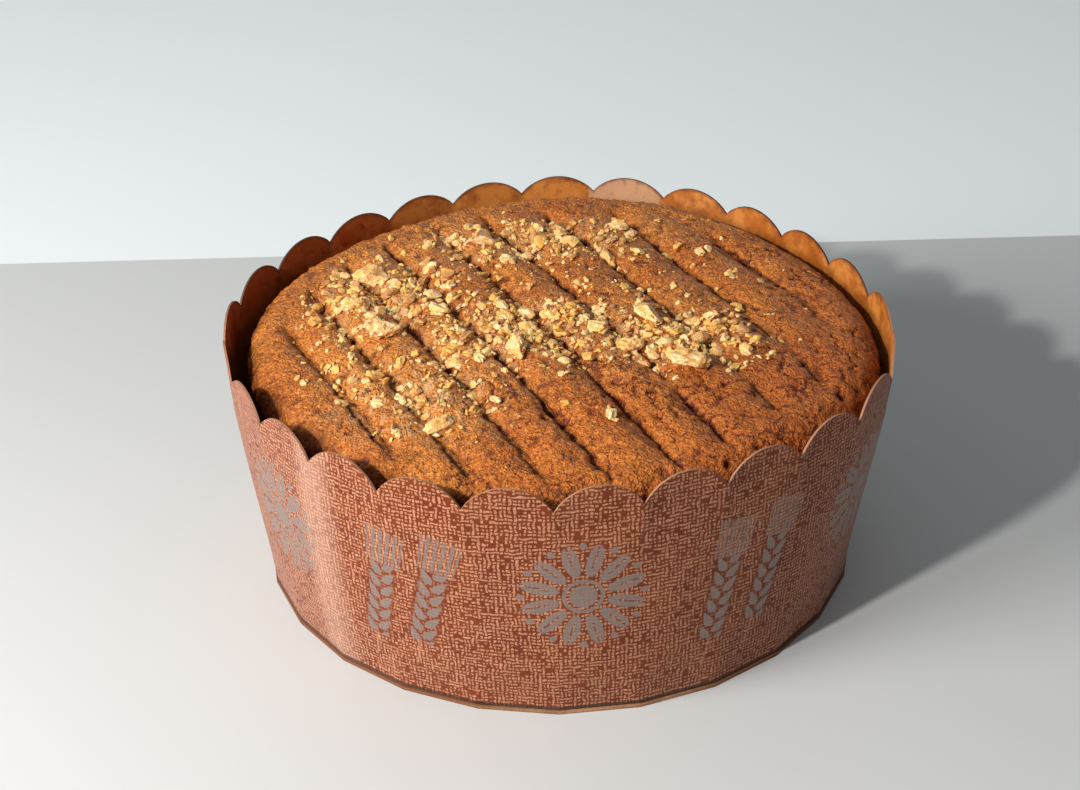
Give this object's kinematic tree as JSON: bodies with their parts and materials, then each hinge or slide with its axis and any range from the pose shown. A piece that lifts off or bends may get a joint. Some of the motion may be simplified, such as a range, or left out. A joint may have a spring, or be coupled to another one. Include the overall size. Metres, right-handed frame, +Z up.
{
  "type": "walnut cake in paper baking case",
  "caption": "Round baked cake with a ridged top scattered with chopped walnuts, standing in its flared paper baking case with a scalloped edge.",
  "frame": {"origin": "middle of the case's underside", "axes": "+Z up, -Y towards the side that the picture shows, +X to its right"},
  "size_m": [0.1644, 0.16, 0.0671],
  "materials": {
    "crust": "browned, crumbly cake crust",
    "walnut": "chopped walnut, pale with golden skins",
    "printed_paper": "brown baking paper printed with a woven pattern",
    "board": "plain kraft board"
  },
  "bodies": {
    "root": {"case_board": "board", "case_wall": "printed_paper", "cake": "crust", "walnut_piece_1": "walnut", "walnut_piece_2": "walnut", "walnut_piece_3": "walnut", "walnut_piece_4": "walnut", "walnut_piece_5": "walnut", "walnut_piece_6": "walnut", "walnut_piece_7": "walnut", "walnut_piece_8": "walnut", "walnut_piece_9": "walnut", "walnut_piece_10": "walnut"}
  },
  "joints": []
}
